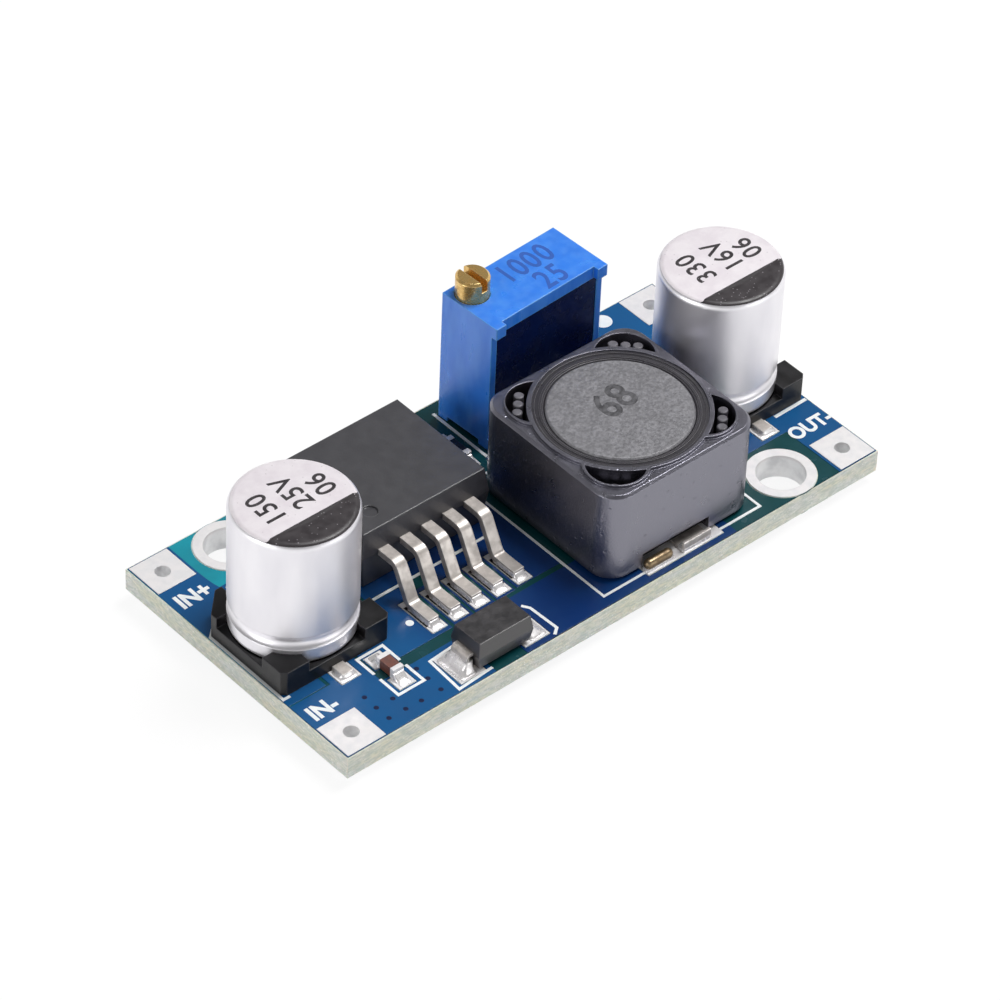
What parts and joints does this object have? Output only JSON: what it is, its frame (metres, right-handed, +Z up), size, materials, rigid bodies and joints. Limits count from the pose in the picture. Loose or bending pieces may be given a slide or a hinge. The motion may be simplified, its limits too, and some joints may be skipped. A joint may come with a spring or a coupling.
{
  "type": "buck converter module",
  "caption": "Small step-down power module: circuit board with regulator, shielded inductor, electrolytic capacitors, diode and a multi-turn trimmer whose screw turns.",
  "frame": {"origin": "centre of the two mounting holes, on the underside of the board", "axes": "+X along the board from the input end to the output end, +Y across it to the trimmer's side, +Z up through the components"},
  "size_m": [0.0432, 0.021, 0.014],
  "materials": {
    "fibreglass": "woven glass laminate with a blue solder mask",
    "tinned_copper": "tinned, satin",
    "solder": "bright solder",
    "aluminium_can": "drawn aluminium, satin",
    "black_moulding": "moulded, fine matt",
    "ferrite": "pressed and fired ferrite, matt",
    "drum_ferrite": "ground ferrite, speckled",
    "copper_wire": "enamelled copper",
    "black_resin": "cast resin",
    "grey_moulding": "moulded, satin",
    "blue_moulding": "moulded, satin",
    "navy_resin": "cast resin",
    "brass": "turned brass",
    "rubber": "moulded",
    "white_moulding": "moulded",
    "spring_metal": "stamped spring alloy",
    "ceramic": "fired alumina",
    "brown_ceramic": "fired ceramic",
    "chip_glaze": "glazed"
  },
  "bodies": {
    "module": {"chip_capacitor_body": "brown_ceramic", "chip_capacitor_ends": "tinned_copper", "chip_resistor_body": "chip_glaze", "chip_resistor_ends": "tinned_copper", "circuit_board": "fibreglass", "corner_pad_in_negative": "tinned_copper", "corner_pad_in_positive": "tinned_copper", "corner_pad_out_negative": "tinned_copper", "corner_pad_out_positive": "tinned_copper", "diode_body": "black_moulding", "diode_terminal_input": "tinned_copper", "diode_terminal_output": "tinned_copper", "inductor_base": "black_moulding", "inductor_bond_ring": "black_resin", "inductor_clip_back": "tinned_copper", "inductor_clip_front": "tinned_copper", "inductor_corner_ribs": "grey_moulding", "inductor_drum_core": "drum_ferrite", "inductor_shield": "ferrite", "inductor_winding": "copper_wire", "inductor_wire_end_back": "copper_wire", "inductor_wire_end_front": "copper_wire", "input_capacitor_base": "black_moulding", "input_capacitor_can": "aluminium_can", "input_capacitor_terminal_negative": "tinned_copper", "input_capacitor_terminal_positive": "tinned_copper", "mount_ring_input": "tinned_copper", "mount_ring_output": "tinned_copper", "output_capacitor_base": "black_moulding", "output_capacitor_can": "aluminium_can", "output_capacitor_terminal_negative": "tinned_copper", "output_capacitor_terminal_positive": "tinned_copper", "regulator_body": "black_moulding", "regulator_lead_1": "tinned_copper", "regulator_lead_2": "tinned_copper", "regulator_lead_3": "tinned_copper", "regulator_lead_4": "tinned_copper", "regulator_lead_5": "tinned_copper", "regulator_tab": "tinned_copper", "surface_lands": "tinned_copper", "trimmer_element": "ceramic", "trimmer_housing": "blue_moulding", "trimmer_pin_1": "tinned_copper", "trimmer_pin_2": "tinned_copper", "trimmer_pin_3": "tinned_copper", "trimmer_pin_eyelets": "tinned_copper", "trimmer_pin_solder": "solder", "trimmer_potting": "navy_resin"},
    "adjusting_screw": {"trimmer_screw": "brass", "trimmer_seal_ring": "rubber"},
    "worm_wheel": {"trimmer_rotor": "white_moulding", "trimmer_wiper": "spring_metal"}
  },
  "joints": [
    {"name": "screw_turn", "type": "hinge", "parent": "module", "child": "adjusting_screw", "pos_m": [0.00377, 0.00815, 0.0066], "axis": [0, 0, 1], "range_deg": [-4500, 4500]},
    {"name": "wheel_turn", "type": "hinge", "parent": "module", "child": "worm_wheel", "pos_m": [0.00761, 0.00835, 0.0066], "axis": [-0.0506, 0.9987, 0], "range_deg": [-141, 141]}
  ],
  "couplings": [
    {"joint": "wheel_turn", "follows": "screw_turn", "ratio": -0.03125}
  ]
}
